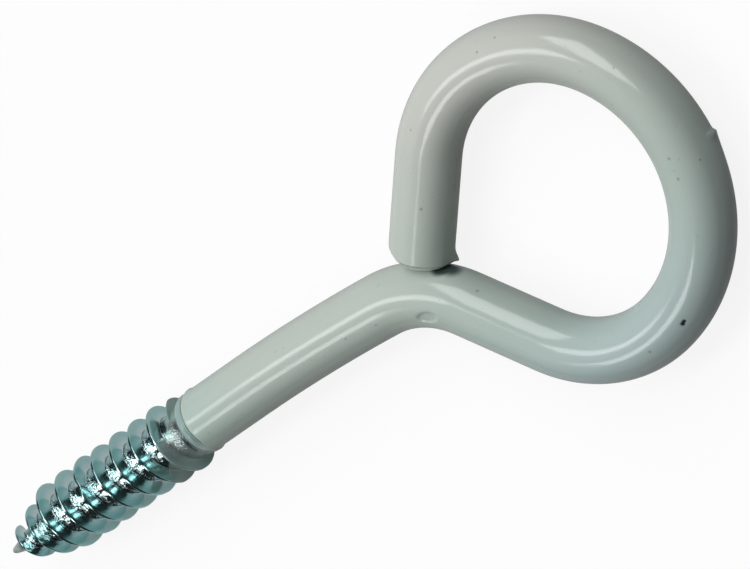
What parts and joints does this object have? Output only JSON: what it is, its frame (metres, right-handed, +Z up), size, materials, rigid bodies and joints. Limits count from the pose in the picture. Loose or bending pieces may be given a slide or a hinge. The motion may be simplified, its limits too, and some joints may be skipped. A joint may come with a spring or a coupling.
{
  "type": "screw eye",
  "caption": "Long-shank wood screw eye bent from one wire, with a dipped vinyl coating over shank and closed eye and a bare zinc-plated gimlet-point thread.",
  "frame": {"origin": "on the screw axis, at the lip where the coating ends and the thread begins, which is where the wood's surface is when the screw is driven home", "axes": "+X along the screw axis from the point to the eye, +Y in the plane of the eye towards its free leg, +Z up, square to the eye as it lies on a table"},
  "size_m": [0.0709, 0.0269, 0.0058],
  "materials": {
    "zinc_plated_steel": "bright blue-white zinc plating on rolled steel",
    "vinyl": "glossy dipped vinyl, greenish grey-white"
  },
  "bodies": {
    "root": {"steel_screw": "zinc_plated_steel", "vinyl_coating": "vinyl"}
  },
  "joints": []
}
